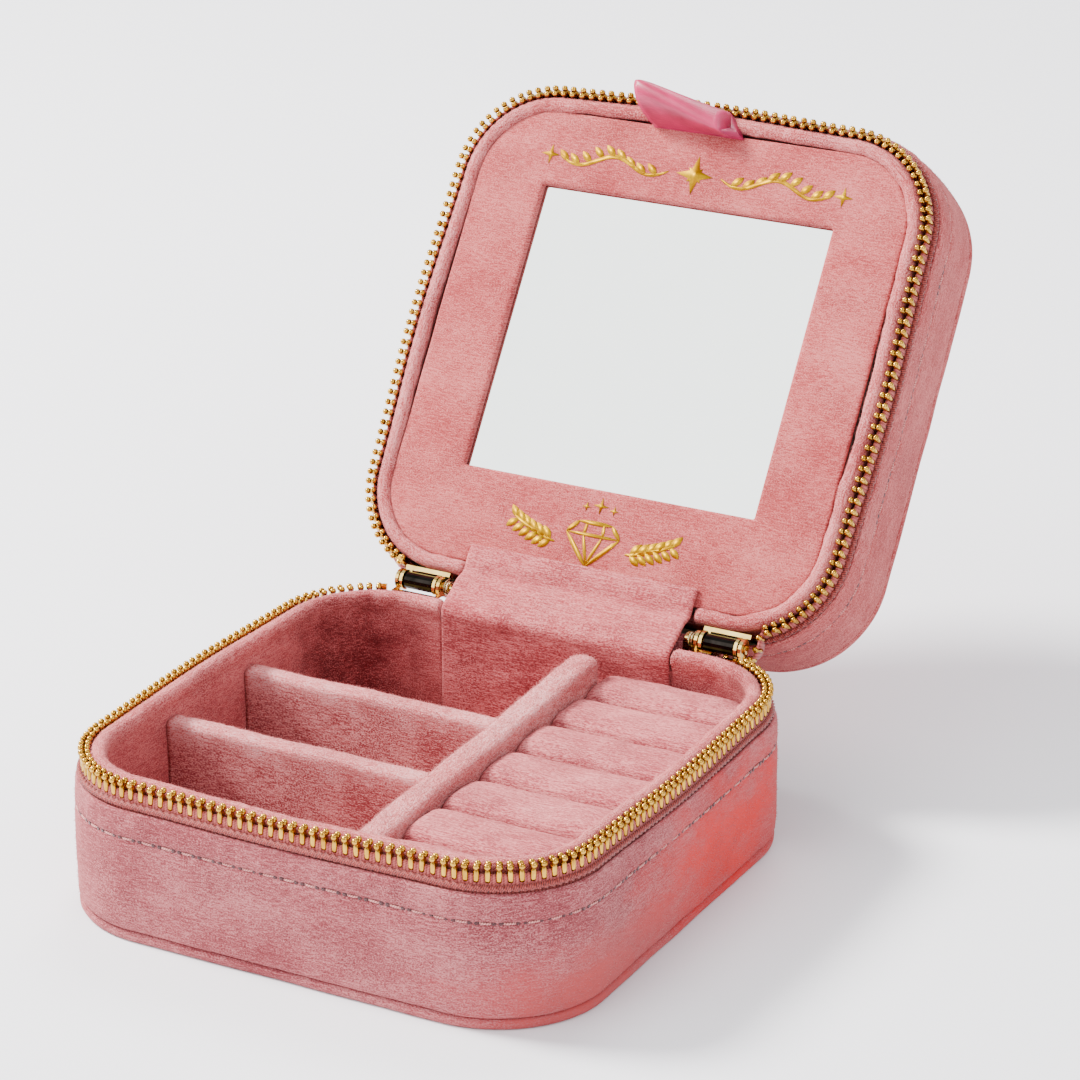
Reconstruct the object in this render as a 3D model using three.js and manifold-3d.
// Travel jewelry case with a zip-around edge, a spring-hinged lid with a mirror panel,
// divided trays and ring rolls.  Millimetres, +Z up, +Y towards the hinge.
// The origin is the centre of the base's bottom face.  The lid is modelled closed, in the
// same frame as the base, and its group is then turned back about the hinge axis.
import * as THREE from 'three';
import { mergeVertices } from 'three/addons/utils/BufferGeometryUtils.js';
import Module from 'manifold-3d';

const wasm = await Module();
wasm.setup();

// ---- Driving dimensions -----------------------------------------------------------------
const HALF = 50; // half the width and half the depth of both shells
const CORNER = 20; // corner radius of both shells, seen from above
const SPLIT_Z = 29.5; // plane where the two rows of zipper teeth meet when closed
const CLOSED_HEIGHT = 53.8;
const LID_OPEN_DEG = 124; // opening angle held by the hinge stops
const GAP = 0.3; // clearance between touching pieces
const ARC_STEPS = 7; // segments per rounded corner

const PANEL_THICK = 1.8; // wrapped bottom and top boards
const PANEL_EDGE = 0.7; // bevel of their edges
const PANEL_INSET = 0.4; // how far they stand back from the walls
const BASE_WALL_TOP = 24.4; // turned edge of the base's outer velvet
const BOARD_TOP = 19.8; // top of the stiff wall board, below the zipper tape

// Insets of each layer of the wall from the outer face
const COVER = { outer: 0, inner: 1.0 };
const BOARD = { outer: 1.3, inner: 2.8 };
const TAPE = { outer: 1.5, inner: 2.3 };
const TEETH = { outer: 1.2, inner: 2.7 };
const LINER = { outer: 3.1, inner: 4.6 };
const LIP = { outer: 3.0, inner: 5.6 };

const TAPE_TOP = 26.5;
const TEETH_BOTTOM = 26.8;
const TEETH_TOP = 29.35;
const LIP_TOP = 29.0;
const LIP_BOTTOM = 26.0;
const LIP_ROUND = 0.8;

const FLOOR_TOP = 4.1;
const DIVIDER_TOP = 23.9; // top of the two cross dividers
const CENTRE_DIVIDER = {
  x: 9.5, thick: 5.4, front: -44.9, rear: 40.2, frontTop: 24.6, rearTop: 27.8,
};
const CROSS_DIVIDERS = { cross_divider_front: -12.3, cross_divider_rear: 13.1 };
const CROSS_THICK = 4.2;
const ROLL_COUNT = 7;
const ROLL_TOP = 23.6;
const CEILING_THICK = 2.0; // pad under the lid's top panel

const HINGE = { y: 50.3, z: SPLIT_Z };
const HINGE_INNER_X = 26.4; // inner end of each hinge's leaves
const HINGE_OUTER_X = 35.8;
const CHEEK_R = 1.9; // round ears of both leaves, through which the pin passes
const BORE_R = 0.95;
const PIN_R = 0.8;
const PIN_INNER_X = 24.1;
const PIN_OUTER_X = 36.2;
const LEAF_THICK = 0.5;
const LEAF_Y = 47.3; // front face of the tab that grips the wall
const LEAF_TAB_BOTTOM = 20.2;
const LEAF_TAB_TOP = 28.3;
const BASE_CHEEKS = [[26.4, 27.0], [35.2, 35.8]];
const LID_CHEEKS = [[27.3, 27.9], [34.3, 34.9]];
const DRUM = { inner: 28.2, outer: 34.0, radius: 1.6 };
const SPRING = { inner: 24.3, outer: 26.1, wire: 0.36, coilR: 1.2, turns: 2, leg: 1.4 };

const CHAIN_END_X = 38; // both tooth rows stop here, short of the hinges
const SPINE_HALF = 23.5; // half width of the fabric spine, inside and outside
const SPINE_THICK = 0.9;

const MIRROR_PANEL = { half: 43.5, corner: 13.5, face: 31.0, frameThick: 1.0, back: 34.9 };
const WINDOW = { halfX: 30, halfY: 28, y: -1.7 };
const GLASS = { overlap: 1.5, thick: 1.5 };
const LEDGE = { outer: 4.9, inner: 8.4 };

const RIBBON = { x: -3.5, width: 14, thick: 0.3 };

// Zipper tail behind the hinge line: distances out from the hinge axis and across it
const TOP_STOP = { wide: 1.2, high: 2.4, z: 28.05, clearance: 0.95 };
const TAIL = { start: 15.6, stopLength: 1.8, chainLength: 8.0 };
const BOTTOM_STOP = { near: 4.2, far: 5.7, half: 1.9 };
const SLIDER = { x: 19.6, length: 8.6, travel: 6 };
const INNER_PLATE = { near: 3.5, far: 4.1, half: 2.0 };
const TAIL_CHAIN = { near: 4.4, far: 5.5, half: 1.4 };
const TAIL_TAPE = { near: 4.7, far: 5.2, half: 1.6 };
const SLIDER_POST = { half: 0.6, inset: 0.4, sink: 0.2 };
const OUTER_PLATE = { near: 5.8, far: 6.5, half: 2.7 };
const BRIDGE = { far: 8.8, bar: 0.7, half: 0.65, start: 22.0, end: 27.0 };
const PULL = { pivotOut: 7.35, pinR: 0.35, cheekHalf: 1.6, cheekThick: 0.6, start: 2.9,
  length: 18.5, half: 2.5, thick: 1.0, hole: 1.3 };

// ---- Materials --------------------------------------------------------------------------
const finish = (color, roughness, metalness) =>
  new THREE.MeshStandardMaterial({ color, roughness, metalness });
const velvet = finish(0xd58b8f, 0.95, 0);
const velvetDark = finish(0xc06d73, 0.95, 0);
const wovenTape = finish(0xc4656b, 0.85, 0);
const gold = finish(0xcfa44e, 0.25, 1);
const steel = finish(0xb9bcc0, 0.35, 1);
const darkSteel = finish(0x2b2a28, 0.3, 1);
const mirrorGlass = finish(0xe6ebe8, 0.04, 1);
const satin = finish(0xd9688c, 0.4, 0);
const greyboard = finish(0x9a948b, 0.9, 0);

// ---- Booleans ---------------------------------------------------------------------------
function toSolid(geometry) {
  const bare = geometry.clone();
  bare.deleteAttribute('normal');
  bare.deleteAttribute('uv');
  const merged = mergeVertices(bare, 1e-4);
  return new wasm.Manifold(new wasm.Mesh({
    numProp: 3,
    vertProperties: new Float32Array(merged.attributes.position.array),
    triVerts: new Uint32Array(merged.index.array),
  }));
}

function toGeometry(solid) {
  const mesh = solid.getMesh();
  const geometry = new THREE.BufferGeometry();
  geometry.setAttribute('position', new THREE.BufferAttribute(mesh.vertProperties, 3));
  geometry.setIndex(new THREE.BufferAttribute(mesh.triVerts, 1));
  geometry.computeVertexNormals();
  return geometry;
}

const join = (first, ...rest) =>
  toGeometry(rest.reduce((sum, g) => sum.add(toSolid(g)), toSolid(first)));
const cut = (first, ...rest) =>
  toGeometry(rest.reduce((sum, g) => sum.subtract(toSolid(g)), toSolid(first)));
const common = (first, second) =>
  toGeometry(toSolid(first).intersect(toSolid(second)));

// ---- Shape helpers ----------------------------------------------------------------------
// Points round a rectangle with rounded corners, counter-clockwise from above.
function roundedRect(halfX, halfY, radius) {
  const points = [];
  for (let corner = 0; corner < 4; corner++) {
    const sx = corner === 0 || corner === 3 ? 1 : -1;
    const sy = corner < 2 ? 1 : -1;
    for (let step = 0; step <= ARC_STEPS; step++) {
      const angle = (corner + step / ARC_STEPS) * Math.PI / 2;
      points.push([
        sx * (halfX - radius) + radius * Math.cos(angle),
        sy * (halfY - radius) + radius * Math.sin(angle),
      ]);
    }
  }
  return points;
}

const SHELL = { halfX: HALF, halfY: HALF, corner: CORNER };

// One outline per [inset, z] of the profile, joined by quads.  A ring closes on itself; a
// slab is capped at its first and last outlines.  The profile runs up the outside.
function loft(profile, isRing, plan = SHELL) {
  const loops = profile.map(([inset, z]) =>
    roundedRect(plan.halfX - inset, plan.halfY - inset, plan.corner - inset)
      .map(([x, y]) => [x, y, z]));
  const count = loops[0].length;
  const index = [];
  const bands = isRing ? loops.length : loops.length - 1;
  for (let band = 0; band < bands; band++) {
    const low = band * count;
    const high = ((band + 1) % loops.length) * count;
    for (let i = 0; i < count; i++) {
      const next = (i + 1) % count;
      index.push(low + i, low + next, high + next, low + i, high + next, high + i);
    }
  }
  if (!isRing) {
    const last = (loops.length - 1) * count;
    for (let i = 1; i < count - 1; i++) {
      index.push(0, i + 1, i);
      index.push(last, last + i, last + i + 1);
    }
  }
  const geometry = new THREE.BufferGeometry();
  geometry.setAttribute('position', new THREE.Float32BufferAttribute(loops.flat(2), 3));
  geometry.setIndex(index);
  geometry.computeVertexNormals();
  return geometry;
}

const ring = (profile, plan) => loft(profile, true, plan);
const slab = (profile, plan) => loft(profile, false, plan);

const plainRing = (layer, bottom, top) => ring([
  [layer.outer, bottom], [layer.outer, top], [layer.inner, top], [layer.inner, bottom],
]);

function box(x0, x1, y0, y1, z0, z1) {
  const geometry = new THREE.BoxGeometry(x1 - x0, y1 - y0, z1 - z0);
  geometry.translate((x0 + x1) / 2, (y0 + y1) / 2, (z0 + z1) / 2);
  return geometry;
}

// A cylinder lying along X between x0 and x1, at y, z.
function rod(x0, x1, radius, y, z, sides = 16) {
  const geometry = new THREE.CylinderGeometry(radius, radius, x1 - x0, sides);
  geometry.rotateZ(Math.PI / 2);
  geometry.translate((x0 + x1) / 2, y, z);
  return geometry;
}

// A flat outline given as [y, z] points, extruded along X from x0 to x1.
function alongX(points, x0, x1) {
  const shape = new THREE.Shape(points.map(([y, z]) => new THREE.Vector2(y, z)));
  const geometry = new THREE.ExtrudeGeometry(shape, { depth: x1 - x0, bevelEnabled: false });
  geometry.applyMatrix4(new THREE.Matrix4().set(0, 0, 1, x0, 1, 0, 0, 0, 0, 1, 0, 0, 0, 0, 0, 1));
  return geometry;
}

// A wall standing on z0 with a rounded top at z1, centred on `at`, as [across, z] points.
function roundedTop(at, thick, z0, z1, roundR = thick / 2) {
  const points = [[at - thick / 2, z0], [at + thick / 2, z0]];
  const steps = 8;
  for (let step = 0; step <= steps; step++) {
    const angle = Math.PI * step / steps;
    const side = thick / 2 - roundR;
    const sign = Math.cos(angle) >= 0 ? 1 : -1;
    points.push([at + sign * side + roundR * Math.cos(angle),
      z1 - roundR + roundR * Math.sin(angle)]);
  }
  return points;
}

// A strip of constant thickness along a smooth curve through [y, z] points.
function strip(path, thick, x0, x1, steps) {
  const curve = new THREE.CatmullRomCurve3(path.map(([y, z]) => new THREE.Vector3(0, y, z)));
  const left = [];
  const right = [];
  for (let step = 0; step <= steps; step++) {
    const p = curve.getPointAt(step / steps);
    const t = curve.getTangentAt(step / steps);
    left.push([p.y - t.z * thick / 2, p.z + t.y * thick / 2]);
    right.push([p.y + t.z * thick / 2, p.z - t.y * thick / 2]);
  }
  return alongX([...right, ...left.reverse()], x0, x1);
}

// Where a point of the closed lid goes when the lid is open.
const OPEN = THREE.MathUtils.degToRad(LID_OPEN_DEG);
function opened([y, z], angle = OPEN) {
  const dy = y - HINGE.y;
  const dz = z - HINGE.z;
  return [
    HINGE.y + dy * Math.cos(angle) + dz * Math.sin(angle),
    HINGE.z - dy * Math.sin(angle) + dz * Math.cos(angle),
  ];
}

// The lid's edge is the base's edge reflected in the split plane.
const mirrored = (z) => 2 * SPLIT_Z - z;
function flipped(geometry) {
  const copy = geometry.index ? geometry.toNonIndexed() : geometry.clone();
  copy.applyMatrix4(new THREE.Matrix4().makeScale(1, 1, -1));
  copy.translate(0, 0, 2 * SPLIT_Z);
  const p = copy.attributes.position;
  for (let i = 0; i < p.count; i += 3) {
    const [x, y, z] = [p.getX(i), p.getY(i), p.getZ(i)];
    p.setXYZ(i, p.getX(i + 1), p.getY(i + 1), p.getZ(i + 1));
    p.setXYZ(i + 1, x, y, z);
  }
  copy.computeVertexNormals();
  return copy;
}
function reflectedX(geometry) {
  const copy = geometry.index ? geometry.toNonIndexed() : geometry.clone();
  copy.applyMatrix4(new THREE.Matrix4().makeScale(-1, 1, 1));
  const p = copy.attributes.position;
  for (let i = 0; i < p.count; i += 3) {
    const [x, y, z] = [p.getX(i), p.getY(i), p.getZ(i)];
    p.setXYZ(i, p.getX(i + 1), p.getY(i + 1), p.getZ(i + 1));
    p.setXYZ(i + 1, x, y, z);
  }
  copy.computeVertexNormals();
  return copy;
}

// ---- Groups -----------------------------------------------------------------------------
const jewelryCase = new THREE.Group();
const base = new THREE.Group();
const lid = new THREE.Group();
lid.position.set(0, HINGE.y, HINGE.z);
lid.rotation.x = -OPEN;
const tail = new THREE.Group();
tail.position.set(0, HINGE.y, HINGE.z);
tail.rotation.x = -OPEN / 2;
jewelryCase.add(base, lid, tail);

function add(group, name, geometry, material) {
  const mesh = new THREE.Mesh(geometry, material);
  mesh.name = name;
  if (group === lid) {
    mesh.position.set(0, -HINGE.y, -HINGE.z);
  }
  group.add(mesh);
}

// ---- Shells -----------------------------------------------------------------------------
const wallBottom = PANEL_THICK + GAP;
const lidPanelBottom = CLOSED_HEIGHT - PANEL_THICK;
const lidWallTop = lidPanelBottom - GAP;
const ceilingBottom = lidWallTop - CEILING_THICK;

const wrappedPanel = () => slab([
  [PANEL_INSET + PANEL_EDGE, 0],
  [PANEL_INSET, PANEL_EDGE],
  [PANEL_INSET, PANEL_THICK],
]);

const rearCut = (halfX) => box(-halfX, halfX, HALF - CORNER, HALF + 5, -5, CLOSED_HEIGHT + 5);
const teethBand = cut(plainRing(TEETH, TEETH_BOTTOM, TEETH_TOP), rearCut(CHAIN_END_X));
const tapeBand = cut(plainRing(TAPE, BOARD_TOP + GAP, TAPE_TOP), rearCut(CHAIN_END_X));

// Inner wall with the rolled lip on top; the lip stops at the spine.
function linerProfile(bottom, lipTop) {
  return [
    [LINER.outer, bottom],
    [LINER.outer, LIP_BOTTOM],
    [LIP.outer, LIP_BOTTOM],
    [LIP.outer, lipTop - LIP_ROUND],
    [LIP.outer + LIP_ROUND, lipTop],
    [LIP.inner - LIP_ROUND, lipTop],
    [LIP.inner, lipTop - LIP_ROUND],
    [LIP.inner, LIP_BOTTOM + LIP_ROUND],
    [LINER.inner, LIP_BOTTOM - LIP_ROUND],
    [LINER.inner, bottom],
  ];
}
const spineNotch = box(-SPINE_HALF - GAP, SPINE_HALF + GAP, HALF - CORNER, HALF,
  LIP_BOTTOM - LIP_ROUND, SPLIT_Z + 1);

add(base, 'base_bottom_panel', wrappedPanel(), velvet);
add(base, 'base_outer_wall', plainRing(COVER, wallBottom, BASE_WALL_TOP), velvet);
add(base, 'base_wall_board', plainRing(BOARD, wallBottom, BOARD_TOP), greyboard);
add(base, 'base_zip_tape', tapeBand, wovenTape);
add(base, 'base_zip_teeth', teethBand, gold);
add(base, 'base_liner', cut(ring(linerProfile(wallBottom, LIP_TOP)), spineNotch), velvetDark);
add(base, 'base_floor_pad',
  slab([[LINER.inner + GAP, wallBottom], [LINER.inner + GAP, FLOOR_TOP]]), velvetDark);

add(lid, 'lid_top_panel', slab([
  [PANEL_INSET, lidPanelBottom],
  [PANEL_INSET, CLOSED_HEIGHT - PANEL_EDGE],
  [PANEL_INSET + PANEL_EDGE, CLOSED_HEIGHT],
]), velvet);
add(lid, 'lid_outer_wall', plainRing(COVER, mirrored(BASE_WALL_TOP), lidWallTop), velvet);
add(lid, 'lid_wall_board', plainRing(BOARD, mirrored(BOARD_TOP), lidWallTop), greyboard);
add(lid, 'lid_zip_tape', flipped(tapeBand), wovenTape);
add(lid, 'lid_zip_teeth', flipped(teethBand), gold);
add(lid, 'lid_liner', flipped(cut(
  ring(linerProfile(mirrored(lidWallTop), LIP_TOP)), spineNotch)), velvetDark);
add(lid, 'lid_ceiling_pad',
  slab([[LINER.inner + GAP, ceilingBottom], [LINER.inner + GAP, lidWallTop]]), velvetDark);

// ---- Trays, dividers and ring rolls -----------------------------------------------------
const insideHalf = HALF - LINER.inner - GAP;
const insideCorner = CORNER - LINER.inner - GAP;
const insidePlan = { halfX: insideHalf, halfY: insideHalf, corner: insideCorner };
const insideSpace = slab([[0, 0], [0, CLOSED_HEIGHT]], insidePlan);
const floorZ = FLOOR_TOP + GAP;
const dividerLeft = CENTRE_DIVIDER.x - CENTRE_DIVIDER.thick / 2;
const dividerRight = CENTRE_DIVIDER.x + CENTRE_DIVIDER.thick / 2;

function centreDivider() {
  const radius = CENTRE_DIVIDER.thick / 2;
  const endY = CENTRE_DIVIDER.rear - radius;
  const wall = alongX(roundedTop(0, CENTRE_DIVIDER.thick, floorZ, CENTRE_DIVIDER.rearTop),
    CENTRE_DIVIDER.front, endY);
  const end = new THREE.CylinderGeometry(radius, radius,
    CENTRE_DIVIDER.rearTop - radius - floorZ, 16);
  end.rotateX(Math.PI / 2);
  end.translate(endY, 0, (CENTRE_DIVIDER.rearTop - radius + floorZ) / 2);
  const dome = new THREE.SphereGeometry(radius, 16, 8);
  dome.rotateX(Math.PI / 2);
  dome.translate(endY, 0, CENTRE_DIVIDER.rearTop - radius);
  const joined = join(wall, end, dome);
  joined.rotateZ(Math.PI / 2);
  joined.translate(CENTRE_DIVIDER.x, 0, 0);
  // Its top falls towards the front.
  const points = joined.attributes.position;
  for (let i = 0; i < points.count; i++) {
    const toRear = (points.getY(i) - CENTRE_DIVIDER.front)
      / (CENTRE_DIVIDER.rear - CENTRE_DIVIDER.front);
    const top = CENTRE_DIVIDER.frontTop
      + (CENTRE_DIVIDER.rearTop - CENTRE_DIVIDER.frontTop) * toRear;
    const share = (top - floorZ) / (CENTRE_DIVIDER.rearTop - floorZ);
    points.setZ(i, floorZ + (points.getZ(i) - floorZ) * share);
  }
  joined.computeVertexNormals();
  return joined;
}
add(base, 'centre_divider', centreDivider(), velvet);

for (const [name, y] of Object.entries(CROSS_DIVIDERS)) {
  const wall = alongX(roundedTop(y, CROSS_THICK, floorZ, DIVIDER_TOP, CROSS_THICK / 2.4),
    -insideHalf, dividerLeft - GAP);
  add(base, name, wall, velvet);
}

// Foam strips with round tops, side by side; rings are pushed into the slits between them.
const rollPitch = 2 * insideHalf / ROLL_COUNT;
for (let roll = 0; roll < ROLL_COUNT; roll++) {
  const y = -insideHalf + (roll + 0.5) * rollPitch;
  const foam = alongX(roundedTop(y, rollPitch - GAP, floorZ, ROLL_TOP),
    dividerRight + GAP, HALF);
  const clearOfSpine = box(0, HALF, -HALF, insideHalf - SPINE_THICK - GAP, 0, CLOSED_HEIGHT);
  add(base, `ring_roll_${roll + 1}`, common(common(foam, insideSpace), clearOfSpine), velvet);
}

// ---- Mirror panel -----------------------------------------------------------------------
const panelPlan = {
  halfX: MIRROR_PANEL.half, halfY: MIRROR_PANEL.half, corner: MIRROR_PANEL.corner,
};
const frameBack = MIRROR_PANEL.face + MIRROR_PANEL.frameThick;
const glassFront = frameBack + GAP;
const glassHalfX = WINDOW.halfX + GLASS.overlap;
const glassHalfY = WINDOW.halfY + GLASS.overlap;
const windowHole = box(-WINDOW.halfX, WINDOW.halfX, WINDOW.y - WINDOW.halfY,
  WINDOW.y + WINDOW.halfY, MIRROR_PANEL.face - 1, frameBack + 1);
const glassPocket = box(-glassHalfX - GAP, glassHalfX + GAP, WINDOW.y - glassHalfY - GAP,
  WINDOW.y + glassHalfY + GAP, glassFront - 1, glassFront + GLASS.thick + GAP);

add(lid, 'mirror_frame', cut(slab([
  [0.5, MIRROR_PANEL.face],
  [0, MIRROR_PANEL.face + 0.5],
  [0, frameBack],
], panelPlan), windowHole), velvet);
add(lid, 'mirror_glass', box(-glassHalfX, glassHalfX, WINDOW.y - glassHalfY,
  WINDOW.y + glassHalfY, glassFront, glassFront + GLASS.thick), mirrorGlass);
add(lid, 'mirror_backing_board', cut(slab([
  [0, glassFront],
  [0, MIRROR_PANEL.back],
], panelPlan), glassPocket), greyboard);
add(lid, 'lid_panel_ledge', plainRing(LEDGE, MIRROR_PANEL.back + GAP, ceilingBottom - GAP),
  greyboard);

// Ribbon loop that lifts the panel's front edge: it comes out between panel and lip,
// stands over the lip and folds back on itself.
const ribbonPath = [
  [-43.95, 34.6], [-43.95, 31.5], [-43.95, 29.6], [-44.6, 27.6], [-46.8, 25.8], [-49.6, 25.2],
  [-51.2, 26.6], [-50.6, 28.4],
];
add(lid, 'ribbon_pull', strip(ribbonPath, RIBBON.thick, RIBBON.x - RIBBON.width / 2,
  RIBBON.x + RIBBON.width / 2, 24), satin);

// ---- Spine ------------------------------------------------------------------------------
const liningY = insideHalf - SPINE_THICK / 2 + 0.05;
const liningPath = [
  [liningY, floorZ],
  [liningY, 15],
  [liningY, 26.2],
  [liningY + 0.35, 28.2],
  [46.9, 29.6],
  [50.3, 31.45],
  opened([45.2, 30.15]),
  opened([42.0, 30.15]),
];
add(base, 'spine_lining', strip(liningPath, SPINE_THICK, -SPINE_HALF, SPINE_HALF, 40),
  velvet);
const spinePath = [
  [49.5, BASE_WALL_TOP + GAP],
  [49.6, 27.0],
  [50.0, 28.7],
  [50.75, 29.35],
  opened([50.0, 30.4]),
  opened([49.6, 32.0]),
  opened([49.5, mirrored(BASE_WALL_TOP) - GAP]),
];
add(base, 'spine_outer', strip(spinePath, SPINE_THICK, -SPINE_HALF, SPINE_HALF, 24), velvet);

// ---- Spring hinges ----------------------------------------------------------------------
// One leaf, for x > 0: a tab that grips the wall, a flange, and a cheek at each end.
function leaf(cheeks) {
  const flangeBottom = LEAF_TAB_TOP - LEAF_THICK;
  let body = join(
    box(HINGE_INNER_X, HINGE_OUTER_X, LEAF_Y, LEAF_Y + LEAF_THICK, LEAF_TAB_BOTTOM,
      LEAF_TAB_TOP),
    box(HINGE_INNER_X, HINGE_OUTER_X, LEAF_Y, HINGE.y - CHEEK_R - GAP, flangeBottom,
      LEAF_TAB_TOP),
  );
  for (const [inner, outer] of cheeks) {
    body = join(body,
      box(inner, outer, LEAF_Y, HINGE.y, flangeBottom, LEAF_TAB_TOP),
      rod(inner, outer, CHEEK_R, HINGE.y, HINGE.z));
  }
  return cut(body, rod(HINGE_INNER_X - 1, HINGE_OUTER_X + 1, BORE_R, HINGE.y, HINGE.z));
}

// Torsion spring: a helix about the pin with a short leg towards each leaf.
function hingeSpring() {
  const points = [];
  const perTurn = 10;
  const legStart = new THREE.Vector3(SPRING.inner + SPRING.wire, HINGE.y - SPRING.leg,
    HINGE.z + SPRING.coilR);
  points.push(legStart);
  const length = SPRING.outer - SPRING.inner - 2 * SPRING.wire;
  for (let i = 0; i <= SPRING.turns * perTurn; i++) {
    const angle = Math.PI / 2 - i / perTurn * 2 * Math.PI;
    points.push(new THREE.Vector3(
      SPRING.inner + SPRING.wire + length * i / (SPRING.turns * perTurn),
      HINGE.y + SPRING.coilR * Math.cos(angle),
      HINGE.z + SPRING.coilR * Math.sin(angle)));
  }
  const end = points[points.length - 1].clone();
  points.push(end.add(new THREE.Vector3(0, SPRING.leg, 0)));
  const section = new THREE.Shape();
  section.absarc(0, 0, SPRING.wire / 2, 0, 2 * Math.PI);
  return new THREE.ExtrudeGeometry(section, {
    steps: 32, bevelEnabled: false, curveSegments: 4,
    extrudePath: new THREE.CatmullRomCurve3(points),
  });
}

const baseLeaf = leaf(BASE_CHEEKS);
const lidLeaf = flipped(leaf(LID_CHEEKS));
const drum = cut(rod(DRUM.inner, DRUM.outer, DRUM.radius, HINGE.y, HINGE.z),
  rod(DRUM.inner - 1, DRUM.outer + 1, BORE_R, HINGE.y, HINGE.z));
const hingePin = rod(PIN_INNER_X, PIN_OUTER_X, PIN_R, HINGE.y, HINGE.z);
const spring = hingeSpring();
for (const [side, place] of [['right', (g) => g], ['left', reflectedX]]) {
  add(base, `hinge_base_leaf_${side}`, place(baseLeaf), gold);
  add(lid, `hinge_lid_leaf_${side}`, place(lidLeaf), gold);
  add(base, `hinge_pin_${side}`, place(hingePin), steel);
  add(base, `hinge_drum_${side}`, place(drum), darkSteel);
  add(base, `hinge_spring_${side}`, place(spring), steel);
}

// ---- Zipper ends, slider and pull -------------------------------------------------------
// Crimped stops at the open ends of both tooth rows, by the left hinge.
const stopRadius = CORNER - (TEETH.outer + TEETH.inner) / 2;
const stopX = CHAIN_END_X - TOP_STOP.clearance;
const stopAngle = Math.asin((stopX - (HALF - CORNER)) / stopRadius);
const topStop = new THREE.BoxGeometry(TOP_STOP.wide, TOP_STOP.wide, TOP_STOP.high);
topStop.rotateZ(stopAngle);
topStop.translate(-stopX, HALF - CORNER + stopRadius * Math.cos(stopAngle), TOP_STOP.z);
add(base, 'zip_top_stop_base', topStop, gold);
add(lid, 'zip_top_stop_lid', flipped(topStop), gold);

// The tail is drawn with X along the chain, Y out from the hinge axis, Z across the chain.
const tailBox = (x0, x1, layer) =>
  box(x0, x1, layer.near, layer.far, -layer.half, layer.half);
const chainStart = TAIL.start + TAIL.stopLength + GAP;
const chainEnd = chainStart + TAIL.chainLength;
add(tail, 'zip_tail_chain', join(
  tailBox(chainStart, chainEnd, TAIL_CHAIN),
  tailBox(chainStart, chainEnd, TAIL_TAPE),
), gold);
add(tail, 'zip_bottom_stop',
  tailBox(TAIL.start, TAIL.start + TAIL.stopLength, BOTTOM_STOP), gold);

function sliderBody() {
  const end = SLIDER.x + SLIDER.length;
  const postStart = chainEnd + GAP;
  const foot = (x0) => box(x0, x0 + BRIDGE.bar, OUTER_PLATE.far - SLIDER_POST.sink, BRIDGE.far,
    -BRIDGE.half, BRIDGE.half);
  return join(
    tailBox(SLIDER.x, end, INNER_PLATE),
    tailBox(SLIDER.x, end, OUTER_PLATE),
    box(postStart, end - SLIDER_POST.inset, INNER_PLATE.far - SLIDER_POST.sink,
      OUTER_PLATE.near + SLIDER_POST.sink, -SLIDER_POST.half, SLIDER_POST.half),
    foot(BRIDGE.start),
    foot(BRIDGE.end - BRIDGE.bar),
    box(BRIDGE.start, BRIDGE.end, BRIDGE.far - BRIDGE.bar, BRIDGE.far, -BRIDGE.half,
      BRIDGE.half),
  );
}
add(tail, 'zip_slider', sliderBody(), gold);

function pullTab() {
  const x = (BRIDGE.start + BRIDGE.end) / 2;
  const out = PULL.pivotOut;
  const pin = new THREE.CylinderGeometry(PULL.pinR, PULL.pinR, 2 * PULL.cheekHalf, 12);
  pin.rotateX(Math.PI / 2);
  pin.translate(x, out, 0);
  const cheek = (side) => {
    const z0 = side > 0 ? PULL.cheekHalf - PULL.cheekThick : -PULL.cheekHalf;
    return box(x - PULL.thick / 2, x + PULL.thick / 2, out - PULL.thick / 2,
      out + PULL.start + 0.5, z0, z0 + PULL.cheekThick);
  };
  const outline = new THREE.Shape();
  outline.moveTo(-PULL.half + 0.9, PULL.start);
  outline.lineTo(PULL.half - 0.9, PULL.start);
  outline.lineTo(PULL.half, PULL.start + 2);
  outline.lineTo(PULL.half, PULL.length - PULL.half);
  outline.absarc(0, PULL.length - PULL.half, PULL.half, 0, Math.PI);
  outline.lineTo(-PULL.half, PULL.start + 2);
  const eye = new THREE.Path();
  eye.absarc(0, PULL.length - PULL.half, PULL.hole, 0, 2 * Math.PI, true);
  outline.holes.push(eye);
  const plate = new THREE.ExtrudeGeometry(outline, {
    depth: PULL.thick, bevelEnabled: false, curveSegments: 8,
  });
  plate.translate(0, 0, -PULL.thick / 2);
  plate.rotateY(Math.PI / 2);
  plate.translate(x, out, 0);
  return join(pin, cheek(1), cheek(-1), plate);
}
add(tail, 'zip_pull', pullTab(), gold);

export default jewelryCase;
